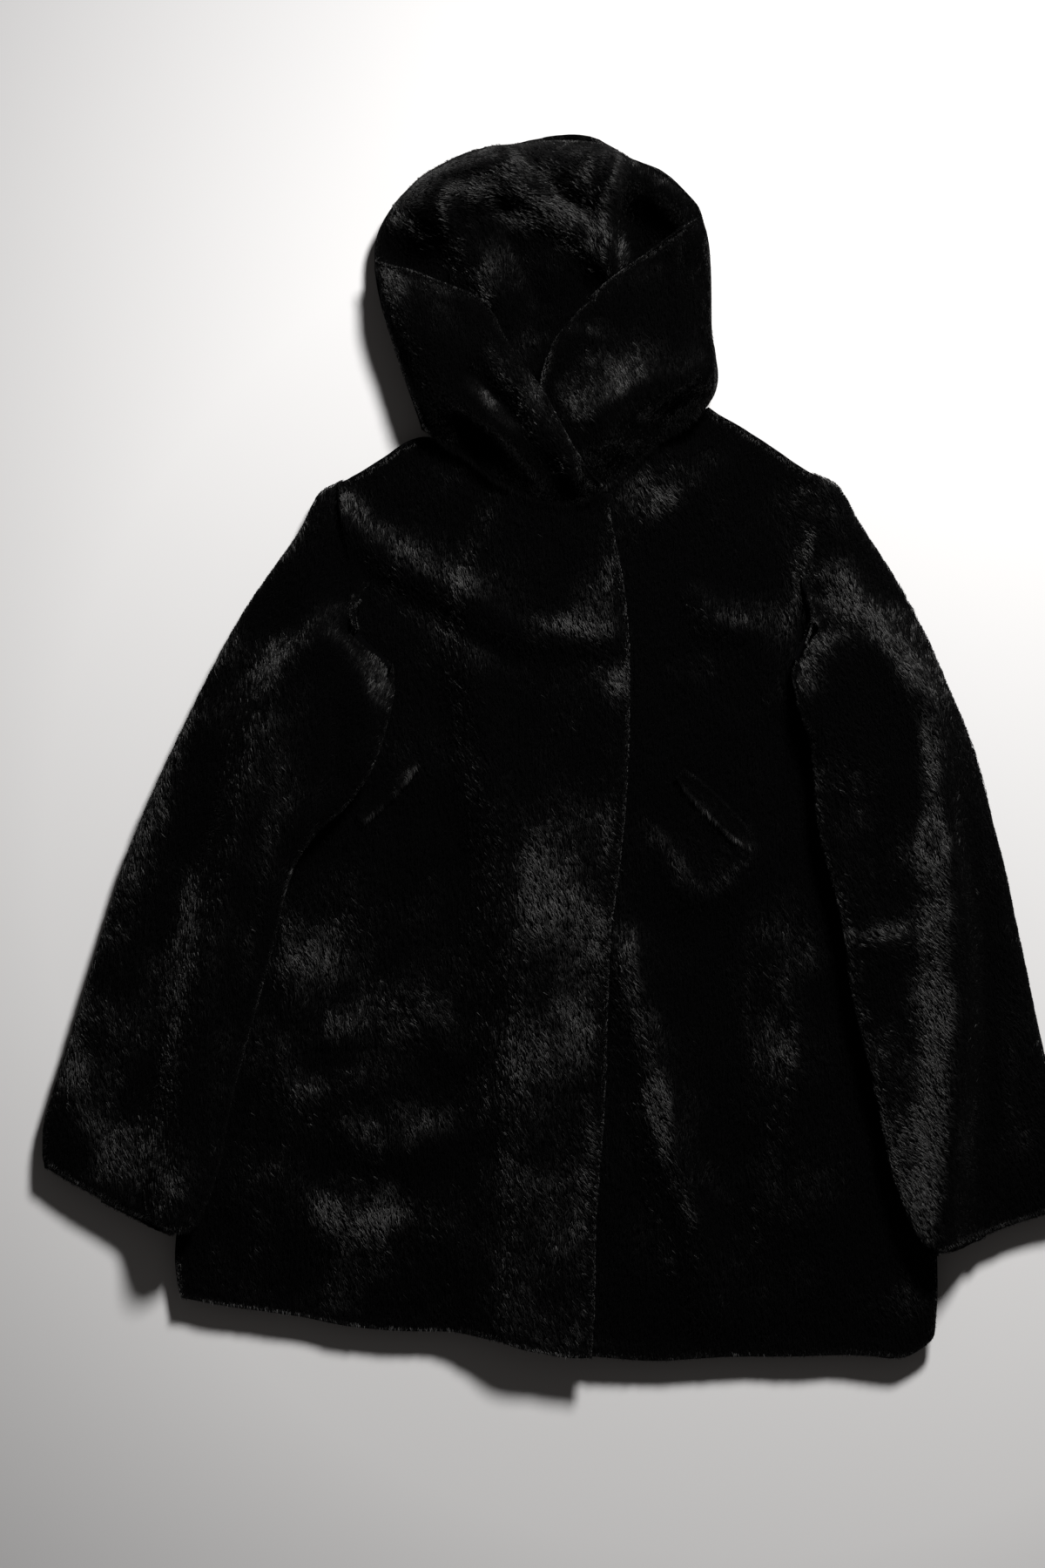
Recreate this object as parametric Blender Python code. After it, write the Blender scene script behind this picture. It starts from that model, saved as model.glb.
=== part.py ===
"""A plush coat with a hood, laid flat on its back with its fronts closed.

Metres, +Z up, the hood towards +Y and the garment's right side towards -X. The cloth is a
furry wall, backing and pile together. Every piece is a panel or a flattened tube of that
wall, laid in turn on the pieces below it. The tables are in millimetres, x and y from the
middle of the coat, each curve from the hem, cuff or neck upwards or from left to right.
"""

from collections import namedtuple

import bmesh
import bpy
import numpy as np
from mathutils import Matrix

MM = 0.001

# Driving dimensions, in millimetres
WALL = 12.0  # backing with the pile on it
REST_GAP = 0.3  # between a piece and what it lies on
SEAM_GAP = 0.8  # between two edges sewn together, which bend in plan
SLEEVE_AIR = 3.0  # between the two layers of a flattened sleeve
LEAST_AIR = 0.6  # the same where a trough presses them together
FRONT_AIR = 1.0  # below a front where it lies flat
UNDERARM = 112.0  # how high up the sleeves lie on the body, where the armholes begin

# How far a piece bridges the steps of what it lies on
BRIDGE_LEFT_FRONT = 24.0
BRIDGE_RIGHT_FRONT = 8.0
BRIDGE_SLEEVE = 20.0
SOFTENING = 0.7  # of the same distance, averaged

# The hood: undersides over the surface, and the widths over which they rise
BOWL_RISE, BOWL_WIDTH = 16.0, 26.0
CROWN_START, CROWN_BLEND = 425.0, 50.0
ROLL_EDGE, ROLL_RISE, ROLL_WIDTH = 14.0, 28.0, 20.0
ROLL_DROP, ROLL_BACK, ROLL_BACK_WIDTH = 38.0, 22.0, 44.0
INSIDE_WIDTH = 40.0
FLAP_EDGE, FLAP_WIDTH = 30.0, 30.0
FLAP_NECK, FLAP_NECK_WIDTH = 14.0, 36.0
FLAP_DROOP, FLAP_DROOP_WIDTH = 10.0, 26.0
RIGHT_CREST, LEFT_CREST = 50.0, 44.0

# How much narrower a pocket's lip is at its ends
POCKET_TAPER = 0.45

# Rows of points that round the edge of a wall: how far in they lie, and how much of the
# wall's thickness they keep
Rim = namedtuple("Rim", "distance fullness")
WALL_RIM = Rim((0.0, 2.5, 7.0), (0.35, 0.86, 1.0))
FOLD_RIM = Rim((0.0, 3.0, 8.0, 16.0), (0.0, 0.63, 0.91, 1.0))
INSIDE_RIM = Rim((12.0, 13.0, 15.0, 18.0), (0.0, 0.5, 0.8, 1.0))
PLAIN = Rim((0.0,), (1.0,))
STEP_RIM = Rim((0.0, 9.0), (1.0, 1.0))

# Even steps between the rims: a count of rows along a length, and columns across
Grid = namedtuple("Grid", "length rows columns")
BACK_GRID = Grid(720.0, 14, 12)
LEFT_FRONT_GRID = Grid(780.0, 24, 14)
RIGHT_FRONT_GRID = Grid(780.0, 24, 12)
SLEEVE_GRID = Grid(690.0, 16, 6)
HOOD_GRID = Grid(240.0, 15, 15)
LEFT_FLAP_GRID = Grid(190.0, 10, 7)
RIGHT_FLAP_GRID = Grid(190.0, 11, 7)
POCKET_STEPS, LIP_STEPS = 6, 2

# The map of heights that pieces are laid on
CELL = 4.0
REACH_X, REACH_Y = 480.0, 556.0
FILL = 24  # points along each side of a map's quad
PROBES = 7  # points along each side of a quad that is kept clear
ROUNDS = 30  # the most passes by which a piece is moved clear
CLEAR_ENOUGH = 0.02
SEAM_ROWS = 6  # rows that follow a seam's move

PLUSH = (0.011, 0.011, 0.013)
PLUSH_ROUGHNESS = 0.85

# ------------------------------------------------------------------ edges: x, y
# The body's sides, from the hem round the underarm to the shoulder
RIGHT_SIDE = (
    (-333, -474), (-340, -457), (-338, -422), (-332, -358), (-325, -291), (-306, -178),
    (-280, -66), (-263, 0), (-247, 35), (-225, 60), (-200, 85), (-184, 110),
    (-180, 140), (-184, 181), (-196, 232),
)
LEFT_SIDE = (
    (322, -508), (325, -476), (325, -434), (329, -328), (338, -216), (332, -148),
    (320, -74), (307, 0), (290, 38), (264, 62), (236, 85), (216, 110),
    (210, 140), (212, 181), (220, 238),
)
HEM = (
    (-333, -474), (-298, -481), (-227, -491), (-184, -500), (-127, -504), (-75, -506),
    (-49, -515), (-23, -521), (21, -525), (79, -530), (136, -526), (194, -526),
    (251, -524), (303, -524), (322, -508),
)
PLACKET = (
    (26, -524), (28, -508), (31, -403), (39, -291), (43, -163), (55, -66), (60, 46),
    (58, 121), (48, 181), (39, 224),
)
UNDERLAP = (
    (-52, -509), (-42, -351), (-45, -321), (-56, -178), (-60, -81), (-66, -43),
    (-72, 24), (-86, 106), (-70, 170), (-46, 217),
)
RIGHT_NECKLINE = (
    (-196, 232), (-160, 254), (-124, 274), (-98, 261), (-70, 243), (-49, 228),
    (-23, 212), (1, 209), (39, 224),
)
LEFT_NECKLINE = (
    (-46, 217), (-6, 219), (32, 225), (67, 251), (80, 268), (95, 275), (111, 287),
    (128, 297), (148, 286), (176, 269), (208, 246), (220, 238),
)
BACK_NECKLINE = (
    (-196, 232), (-160, 254), (-124, 274), (-62, 260), (0, 255), (66, 268),
    (128, 297), (148, 286), (176, 269), (208, 246), (220, 238),
)

# The sleeves: the folded edges, and the crease where the sleeve drops off the body
RIGHT_SLEEVE_OUTER = (
    (-449, -365), (-458, -347), (-449, -311), (-434, -264), (-422, -224), (-402, -160),
    (-380, -89), (-362, -47), (-347, -12), (-322, 40), (-293, 97), (-265, 143),
    (-227, 192), (-197, 232),
)
RIGHT_SLEEVE_CREASE = (
    (-361, -409), (-353, -358), (-346, -291), (-327, -178), (-301, -66), (-282, 9),
    (-268, 48), (-244, 84), (-216, 112), (-182, 146),
)
RIGHT_SLEEVE_INNER = (
    (-317, -417), (-296, -366), (-285, -306), (-272, -257), (-261, -218), (-245, -158),
    (-234, -111), (-222, -83), (-186, -51), (-164, -21), (-152, 11), (-146, 42),
    (-148, 62), (-154, 77),
)
RIGHT_CUFF = ((-449, -365), (-414, -382), (-377, -402), (-344, -415), (-317, -417))
RIGHT_ARMHOLE = (
    (-197, 232), (-185, 181), (-182, 145), (-186, 120), (-184, 104), (-172, 91), (-154, 77),
)

LEFT_SLEEVE_INNER = (
    (314, -435), (294, -407), (279, -366), (264, -291), (245, -216), (234, -141),
    (219, -85), (213, -55), (212, -29), (214, -6), (208, 9), (200, 24), (198, 46),
    (200, 72),
)
LEFT_SLEEVE_CREASE = (
    (352, -423), (350, -328), (359, -216), (353, -148), (341, -74), (331, -14),
    (313, 52), (284, 86), (250, 114), (211, 146),
)
LEFT_SLEEVE_OUTER = (
    (453, -389), (448, -366), (437, -328), (413, -247), (403, -195), (393, -152),
    (383, -101), (371, -58), (357, -1), (337, 48), (308, 114), (280, 163), (251, 203),
    (221, 238),
)
LEFT_CUFF = ((314, -435), (331, -433), (366, -416), (414, -402), (453, -389))
LEFT_ARMHOLE = ((200, 72), (206, 88), (213, 103), (214, 120), (212, 145), (213, 181), (221, 238))

# The hood: its outline, its free edges and its neck seam
HOOD_RIGHT_OUTLINE = ((-124, 275), (-149, 346), (-163, 394), (-166, 415), (-165, 442), (-146, 475))
HOOD_LEFT_OUTLINE = ((128, 299), (135, 317), (130, 358), (129, 415), (127, 440), (119, 470))
HOOD_CROWN = (
    (-146, 475), (-129, 494), (-100, 514), (-67, 526), (-34, 530), (38, 527), (50, 519),
    (79, 509), (102, 490), (119, 470),
)
HOOD_NECK = ((-124, 275), (-62, 261), (0, 256), (66, 269), (128, 299))
RIGHT_FLAP_OUTER = ((-124, 275), (-149, 346), (-163, 394), (-165, 425))
RIGHT_FLAP_FREE = (
    (38, 226), (13, 260), (-6, 294), (-23, 322), (-34, 335), (-52, 367),
)
RIGHT_FLAP_NECK = (
    (-124, 275), (-98, 262), (-70, 244), (-49, 229), (-23, 213), (1, 210), (38, 226),
)
RIGHT_FLAP_TOP = ((-165, 425), (-137, 419), (-113, 409), (-80, 396), (-64, 387), (-52, 367))
LEFT_FLAP_FREE = (
    (-6, 220), (-21, 256), (-27, 294), (-24, 318), (-19, 336), (-10, 358), (5, 375),
)
LEFT_FLAP_OUTER = ((128, 299), (135, 317), (130, 358), (129, 415), (126, 446), (120, 464))
LEFT_FLAP_NECK = (
    (-6, 220), (32, 226), (67, 252), (80, 269), (95, 276), (111, 288), (128, 299),
)
LEFT_FLAP_TOP = ((5, 375), (26, 397), (43, 412), (67, 428), (95, 449), (120, 464))

# ------------------------------------------------------------------ folds
# A fold is a soft ridge along a path, or a trough where its rise is negative.
Fold = namedtuple("Fold", "rise width path")
RIGHT_FRONT_FOLDS = (
    Fold(8, 12, ((-189, 200), (-133, 159), (-77, 123), (-28, 97), (36, 96))),
    Fold(-7, 9, ((-160, 146), (-88, 109), (-38, 84), (20, 84))),
    Fold(4, 12, ((-152, -5), (-119, -36), (-96, -66))),
    Fold(4, 14, ((-190, -60), (-178, -111), (-190, -156))),
    Fold(4, 14, ((-126, -163), (-137, -208), (-163, -240))),
    Fold(4, 12, ((-228, -140), (-225, -220))),
    Fold(4, 14, ((-205, -230), (-163, -261), (-150, -298))),
    Fold(6, 14, ((-148, -328), (-111, -355), (-90, -400), (-82, -450), (-74, -500))),
    Fold(-4, 15, ((-107, -290), (-104, -305))),
    Fold(4, 20, ((-200, -400), (-170, -420))),
    Fold(-5, 16, ((35, 97), (33, 90))),
    Fold(-5, 14, ((17, -52), (17, -62))),
    Fold(-5, 14, ((15, -211), (15, -221))),
    Fold(-5, 14, ((8, -400), (8, -410))),
    Fold(4, 14, ((-38, -100), (-32, -230), (-25, -330))),
    Fold(4, 16, ((10, -260), (5, -330))),
)
LEFT_FRONT_FOLDS = (
    Fold(6, 10, ((114, 129), (130, 108), (159, 106))),
    Fold(5, 12, ((193, 72), (190, 50))),
    Fold(10, 14, ((56, -171), (67, -216), (84, -291), (107, -404), (125, -478))),
    Fold(6, 16, ((185, -171), (200, -254), (193, -321), (182, -396))),
    Fold(4, 12, ((216, -104), (226, -178))),
    Fold(7, 14, ((80, 208), (114, 226), (151, 253))),
    Fold(4, 14, ((85, -40), (88, 30))),
    Fold(7, 9, ((88, -82), (98, -112), (122, -131), (150, -119), (166, -92))),
    Fold(4, 16, ((225, -390), (232, -450))),
)
RIGHT_SLEEVE_FOLDS = (
    Fold(5, 11, ((-201, 99), (-240, 76), (-258, 20))),
    Fold(9, 10, ((-189, 45), (-197, 9), (-208, -21), (-217, -60))),
    Fold(-2.5, 9, ((-176, 30), (-190, -25))),
    Fold(5, 20, ((-309, 24), (-352, -103), (-380, -201))),
    Fold(-2.5, 9, ((-242, 110), (-248, 77))),
    Fold(4, 12, ((-366, -216), (-373, -276))),
    Fold(3, 14, ((-420, -270), (-424, -330))),
)
LEFT_SLEEVE_FOLDS = (
    Fold(7, 13, ((219, 159), (264, 107), (300, 47))),
    Fold(6, 14, ((318, -80), (329, -148), (334, -216), (326, -328))),
    Fold(5, 9, ((242, -160), (279, -167))),
    Fold(5, 18, ((345, 20), (372, -100), (392, -220))),
    Fold(4, 10, ((358, -352), (347, -392))),
    Fold(3, 12, ((252, 30), (262, -60))),
)
HOOD_BACK_FOLDS = (
    Fold(16, 15, ((-118, 486), (-106, 460), (-85, 434), (-58, 390))),
    Fold(12, 15, ((-60, 500), (-36, 490), (-8, 472), (14, 453), (36, 424))),
    Fold(16, 16, ((12, 500), (30, 474), (36, 430))),
    Fold(-26, 21, ((70, 486), (70, 436))),
    Fold(-8, 14, ((-30, 516), (0, 486))),
)
RIGHT_FLAP_FOLDS = (
    Fold(-13, 11, ((-79, 322), (-49, 290), (-28, 262), (-8, 238))),
    Fold(7, 13, ((-55, 360), (-34, 316), (-8, 274), (18, 240))),
    Fold(6, 16, ((-102, 347), (-74, 296), (-50, 260))),
)
LEFT_FLAP_FOLDS = (
    Fold(6, 9, ((32, 283), (59, 305), (83, 314), (107, 320))),
    Fold(-8, 9, ((36, 266), (77, 290), (112, 303))),
    Fold(6, 14, ((14, 312), (24, 286))),
    Fold(5, 10, ((69, 335), (50, 309))),
    Fold(5, 14, ((40, 390), (74, 404))),
)

# ------------------------------------------------------------------ pockets: the lips
Lip = namedtuple("Lip", "start end breadth rise")
LEFT_POCKET = Lip((98, -17), (164, -82), 24.0, 6.0)
RIGHT_POCKET = Lip((-178, -60), (-127, -6), 20.0, 4.0)


def spline(table, shares):
    """Points on a smooth curve through a table's points, at shares of its length."""
    points = np.asarray(table, float)
    step = np.linalg.norm(np.diff(points, axis=0), axis=1)
    along = np.concatenate([[0], np.cumsum(step)])
    slope = np.gradient(points, along, axis=0)
    at = np.atleast_1d(shares) * along[-1]
    i = np.clip(np.searchsorted(along, at, side="right") - 1, 0, len(step) - 1)
    length = step[i][:, None]
    s = (at - along[i])[:, None] / length
    start = (2 * s**3 - 3 * s**2 + 1) * points[i] + (s**3 - 2 * s**2 + s) * length * slope[i]
    end = (3 * s**2 - 2 * s**3) * points[i + 1] + (s**3 - s**2) * length * slope[i + 1]
    return start + end


def share_near(table, point):
    """The share of a curve's length at which it passes nearest to a point."""
    shares = np.linspace(0, 1, 401)
    return shares[np.argmin(np.linalg.norm(spline(table, shares) - point, axis=1))]


def distance(points, path):
    """How far points, in an array of any shape, lie from a path of straight runs."""
    path = np.asarray(path, float)
    nearest = np.full(points.shape[:-1], np.inf)
    for a, b in zip(path[:-1], path[1:]):
        run = b - a
        share = np.clip((points - a) @ run / (run @ run), 0, 1)
        gap = np.linalg.norm(points - (a + share[..., None] * run), axis=-1)
        nearest = np.minimum(nearest, gap)
    return nearest


def ease(x):
    """A soft step from 0 to 1."""
    x = np.clip(x, 0, 1)
    return x * x * (3 - 2 * x)


def raised(points, folds):
    """What a table of folds adds to the height at points."""
    height = np.zeros(points.shape[:-1])
    for fold in folds:
        path = spline(fold.path, np.linspace(0, 1, 13)) if len(fold.path) > 2 else fold.path
        height += fold.rise * np.exp(-((distance(points, path) / fold.width) ** 2))
    return height


def spaced(length, count, start=WALL_RIM, end=WALL_RIM):
    """Shares of a length in millimetres: close at its rims, in count even steps between."""
    first = np.array(start.distance) / length
    last = 1 - np.array(end.distance)[::-1] / length
    middle = np.linspace(first[-1], last[0], count + 1)[1:-1]
    return np.concatenate([first, middle, last])


def fullness(count, start=WALL_RIM, end=WALL_RIM):
    """The share of the full thickness at each of count rows or columns."""
    full = np.ones(count)
    full[: len(start.fullness)] = start.fullness
    full[count - len(end.fullness) :] = end.fullness[::-1]
    return full


# A space between two lengthwise guides: its even steps across, and the rims at its sides
Space = namedtuple("Space", "count start end")


def across(guides, spaces, rows):
    """Columns for each row, as numbers whose whole part is the guide on their left."""
    sides = [spline(guide, rows) for guide in guides]
    blocks = []
    for i, space in enumerate(spaces):
        widths = np.linalg.norm(sides[i + 1] - sides[i], axis=1)
        kept = None if i == len(spaces) - 1 else -1
        blocks.append([i + spaced(width, *space)[:kept] for width in widths])
    return np.concatenate(blocks, axis=1)


def weave(guides, bottom, top, spaces, rows):
    """A panel's points in plan: rows of columns between lengthwise guides, bent so that
    the first and last rows follow the bottom and top edges."""
    columns = across(guides, spaces, rows)
    sides = np.array([spline(guide, rows) for guide in guides])
    i = np.minimum(columns.astype(int), len(guides) - 2)
    j = np.arange(len(rows))[:, None]
    share = (columns - i)[..., None]
    plan = (1 - share) * sides[i, j] + share * sides[i + 1, j]
    bent = plan.copy()
    for edge, row, weight in ((bottom, 0, (1 - rows) ** 2), (top, -1, rows**2)):
        marks = [share_near(edge, guide[row]) for guide in guides]
        marks[0], marks[-1] = 0.0, 1.0
        along = np.interp(columns[row], np.arange(len(guides)), marks)
        bent += weight[:, None, None] * (spline(edge, along) - plan[row])
    return bent


def simple_plan(grid, guides, bottom, top):
    """A panel's plan between two guides."""
    spaces = [Space(grid.columns, WALL_RIM, WALL_RIM)]
    return weave(guides, bottom, top, spaces, spaced(grid.length, grid.rows))


def nearest_on(points, outline):
    """For each point the nearest point of a closed outline, and whether it is inside."""
    start, end = outline, np.roll(outline, -1, axis=0)
    run = end - start
    offset = points[:, None] - start
    share = np.clip((offset * run).sum(2) / np.maximum((run * run).sum(1), 1e-9), 0, 1)
    near = start + share[..., None] * run
    k = np.argmin(np.linalg.norm(points[:, None] - near, axis=2), axis=1)
    spans = (start[:, 1] > points[:, 1:]) != (end[:, 1] > points[:, 1:])
    rise = np.where(run[:, 1] == 0, 1e-9, run[:, 1])
    crossing = start[:, 0] + (points[:, 1:] - start[:, 1]) * run[:, 0] / rise
    inside = (spans & (points[:, :1] < crossing)).sum(1) % 2 == 1
    return near[np.arange(len(points)), k], inside


def parted(plan, row, names, where=None):
    """A plan whose first or last row is moved off the outlines of the named pieces, to
    which it is sewn. The rows beside it follow by less and less."""
    edge = plan[row].copy()
    shares = np.linspace(0, 1, PROBES + 2)[:-1]
    for _ in range(ROUNDS):
        push, most = np.zeros_like(edge), np.zeros(len(edge))
        for share in shares:
            point = (1 - share) * edge[:-1] + share * edge[1:]
            for name in names:
                near, inside = nearest_on(point, outlines[name])
                gap = np.linalg.norm(point - near, axis=1)
                lack = SEAM_GAP + np.where(inside, gap, -gap)
                away = (near - point) * np.where(inside, 1, -1)[:, None]
                away = away / np.maximum(gap, 1e-6)[:, None]
                if where is not None:
                    lack = np.where(where(point), lack, 0)
                for shift in (0, 1):
                    k = np.arange(len(point)) + shift
                    more = lack > most[k]
                    most[k[more]] = lack[more]
                    push[k[more]] = (away * lack[:, None])[more]
        edge += push
        if most.max() < CLEAR_ENOUGH:
            break
    moved = plan.copy()
    shift = edge - plan[row]
    beside = range(plan.shape[0]) if row == 0 else range(plan.shape[0] - 1, -1, -1)
    for depth, j in enumerate(beside):
        moved[j] += shift * max(0.0, 1 - depth / SEAM_ROWS)
    return moved


def around(plan):
    """The closed outline of a plan."""
    return np.concatenate([plan[0], plan[1:, -1], plan[-1, -2::-1], plan[-2:0:-1, 0]])


class HeightMap:
    """The top of laid pieces over the surface, in square cells."""

    def __init__(self):
        self.shape = (int(2 * REACH_Y / CELL), int(2 * REACH_X / CELL))
        self.z = np.zeros(self.shape)

    def add(self, plan, top):
        """Adds a piece's upper points, filled in between them."""
        steps = np.linspace(0, 1, FILL)
        low_low, low_high = plan[:-1, :-1], plan[:-1, 1:]
        high_low, high_high = plan[1:, :-1], plan[1:, 1:]
        tops = top[:-1, :-1], top[:-1, 1:], top[1:, :-1], top[1:, 1:]
        for s in steps:
            for t in steps:
                part = (1 - s) * (1 - t), (1 - s) * t, s * (1 - t), s * t
                point = part[0] * low_low + part[1] * low_high
                point = point + part[2] * high_low + part[3] * high_high
                z = sum(p * corner for p, corner in zip(part, tops))
                row = ((point[..., 1] + REACH_Y) / CELL).astype(int)
                column = ((point[..., 0] + REACH_X) / CELL).astype(int)
                np.maximum.at(self.z, (row, column), z)

    def spread(self, reach):
        """The map with every height carried sideways by reach."""
        z = self.z
        for axis in (0, 1):
            turns = range(-int(round(reach / CELL)), int(round(reach / CELL)) + 1)
            z = np.maximum.reduce([np.roll(z, turn, axis) for turn in turns])
        wider = HeightMap()
        wider.z = z
        return wider

    def softened(self, reach):
        """The map averaged over reach."""
        z = self.z
        for axis in (0, 1):
            turns = range(-int(round(reach / CELL)), int(round(reach / CELL)) + 1)
            z = sum(np.roll(z, turn, axis) for turn in turns) / len(turns)
        softer = HeightMap()
        softer.z = z
        return softer

    def at(self, points):
        """Heights at points, between the cells' middles."""
        y = np.clip((points[..., 1] + REACH_Y) / CELL - 0.5, 0, self.shape[0] - 2)
        x = np.clip((points[..., 0] + REACH_X) / CELL - 0.5, 0, self.shape[1] - 2)
        row, column = y.astype(int), x.astype(int)
        s, t = y - row, x - column
        near = (1 - t) * self.z[row, column] + t * self.z[row, column + 1]
        far = (1 - t) * self.z[row + 1, column] + t * self.z[row + 1, column + 1]
        return (1 - s) * near + s * far


laid = {}  # each piece's own height map
outlines = {}  # and its outline in plan


def ground(below, limit=None):
    """The tops of the named pieces together. Above the limit in y nothing counts, where a
    piece is sewn beside them and doesn't lie on them."""
    together = HeightMap()
    for name in below:
        together.z = np.maximum(together.z, laid[name].z)
    if limit is not None:
        together.z[int((limit + REACH_Y) / CELL) :] = 0
    return together


def cleared(plan, height, below):
    """An underside raised where its cells would cut into what lies below."""
    height = height.copy()
    floor = below.spread(CELL)
    steps = np.linspace(0, 1, PROBES)
    for _ in range(ROUNDS):
        lift = np.zeros_like(height)
        a, b, c, d = height[:-1, :-1], height[:-1, 1:], height[1:, :-1], height[1:, 1:]
        for s in steps:
            for t in steps:
                across = (1 - t) * plan[:-1, :-1] + t * plan[:-1, 1:]
                point = (1 - s) * across + s * ((1 - t) * plan[1:, :-1] + t * plan[1:, 1:])
                one = a + (c - a) * s + (d - c) * t if s >= t else a + (b - a) * t + (d - b) * s
                if s + t <= 1:
                    other = a + (c - a) * s + (b - a) * t
                else:
                    other = d + (b - d) * (1 - s) + (c - d) * (1 - t)
                on = floor.at(point)
                lack = np.where(on > 0, on + REST_GAP - np.minimum(one, other), 0)
                for row in (0, 1):
                    for column in (0, 1):
                        part = lift[row : row + lack.shape[0], column : column + lack.shape[1]]
                        np.maximum(part, lack, out=part)
        height += lift
        if lift.max() < CLEAR_ENOUGH:
            break
    return height


def settled(plan, below, reach, relief, limit=None):
    """The underside of a piece that lies on others: their tops carried sideways by reach
    and softened, with the piece's own relief above them."""
    base = ground(below, limit)
    soft = base.spread(reach).softened(SOFTENING * reach).at(plan)
    resting = np.where(soft > 0, soft + REST_GAP, 0)
    return cleared(plan, resting + np.maximum(relief, 0), base)


def plush(name):
    """The pile's dark, matt material for one piece."""
    material = bpy.data.materials.new(name)
    material.use_nodes = True
    shader = material.node_tree.nodes["Principled BSDF"]
    shader.inputs["Base Color"].default_value = (*PLUSH, 1)
    shader.inputs["Roughness"].default_value = PLUSH_ROUGHNESS
    shader.inputs["Metallic"].default_value = 0
    return material


def finished(name, bm):
    """Turns a closed mesh in millimetres into the named object in metres."""
    bmesh.ops.scale(bm, vec=(MM, MM, MM), verts=bm.verts)
    bmesh.ops.triangulate(bm, faces=bm.faces, quad_method="SHORT_EDGE")
    bmesh.ops.recalc_face_normals(bm, faces=bm.faces)
    mesh = bpy.data.meshes.new(name)
    bm.to_mesh(mesh)
    bm.free()
    mesh.materials.append(plush(name))
    piece = bpy.data.objects.new(name, mesh)
    bpy.context.scene.collection.objects.link(piece)
    return piece


def loft(bm, rings):
    """Skins closed rings of points one after the other, and gives back their vertices."""
    made = [[bm.verts.new(point) for point in ring] for ring in rings]
    for near, far in zip(made[:-1], made[1:]):
        for i in range(len(near)):
            bm.faces.new((near[i - 1], near[i], far[i], far[i - 1]))
    return made


def panel(name, plan, underside, wall=WALL, rim=WALL_RIM):
    """A wall over a plan, with round edges. Its rings run over the top and back below."""
    full = np.minimum.outer(fullness(plan.shape[0], rim, rim), fullness(plan.shape[1], rim, rim))
    middle = underside + wall / 2
    top = np.dstack([plan, middle + wall / 2 * full])
    low = np.dstack([plan, middle - wall / 2 * full])
    bm = bmesh.new()
    rings = loft(bm, np.concatenate([top, low[:, ::-1]], axis=1))
    for ring in (rings[0], rings[-1]):
        for i in range(plan.shape[1] - 1):
            bm.faces.new((ring[i], ring[i + 1], ring[-2 - i], ring[-1 - i]))
    laid[name] = HeightMap()
    laid[name].add(plan, top[..., 2])
    outlines[name] = around(plan)
    return finished(name, bm)


def tube_ring(plan, top, low):
    """Rings round a flattened tube: over the top, and back below without the end points."""
    over = np.dstack([plan, top])
    back = np.dstack([plan, low])[:, -2:0:-1]
    return np.concatenate([over, back], axis=1)


def carried(places, values):
    """Values at one skin's columns, read off at the other skin's columns."""
    layers = [
        [np.interp(new, old, value) for new, old, value in zip(places[1], places[0], layer)]
        for layer in np.moveaxis(values, -1, 0)
    ]
    return np.stack(layers, axis=-1)


def sleeve(name, guides, cuff, armhole, front, folds):
    """A flattened tube, open at the cuff and the armhole. It lies on the surface outside
    the body and climbs onto the body along its middle guide."""
    rows = spaced(SLEEVE_GRID.length, SLEEVE_GRID.rows)
    half_grid = SLEEVE_GRID.columns // 2
    skin_spaces = [
        (Space(half_grid, rim, STEP_RIM), Space(half_grid, STEP_RIM, rim))
        for rim in (FOLD_RIM, INSIDE_RIM)
    ]
    woven, inner = (weave(guides, cuff, armhole, spaces, rows) for spaces in skin_spaces)
    outer = parted(woven, -1, ["back", front], lambda at: at[:, 1] > UNDERARM)
    places = [across(guides, spaces, rows) for spaces in skin_spaces]
    inner = inner + carried(places, outer - woven)
    body = ["back", "front_left", "front_right"]
    base = settled(outer, body, BRIDGE_SLEEVE, np.zeros(outer.shape[:2]), UNDERARM)
    inner_base = carried(places, base[..., None])[..., 0]
    skins = []
    for plan, bottom, rim, half in (
        (outer, base, FOLD_RIM, WALL + SLEEVE_AIR / 2),
        (inner, inner_base, INSIDE_RIM, SLEEVE_AIR / 2),
    ):
        full = fullness(plan.shape[1], rim, rim)
        middle = bottom + WALL + SLEEVE_AIR / 2
        lift = np.maximum(raised(plan, folds), LEAST_AIR - SLEEVE_AIR)
        skins.append(tube_ring(plan, middle + (half + lift) * full, middle - half * full))
    wall_middle = (skins[0] + skins[1]) / 2
    kept = fullness(len(rows))[:, None, None]
    skins = [wall_middle + (skin - wall_middle) * kept for skin in skins]
    bm = bmesh.new()
    outside, inside = (loft(bm, skin) for skin in skins)
    for end in (0, -1):
        ring, hollow = outside[end], inside[end]
        for i in range(len(ring)):
            bm.faces.new((ring[i - 1], ring[i], hollow[i], hollow[i - 1]))
    laid[name] = HeightMap()
    laid[name].add(outer, skins[0][:, : outer.shape[1], 2])
    return finished(name, bm)


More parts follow.
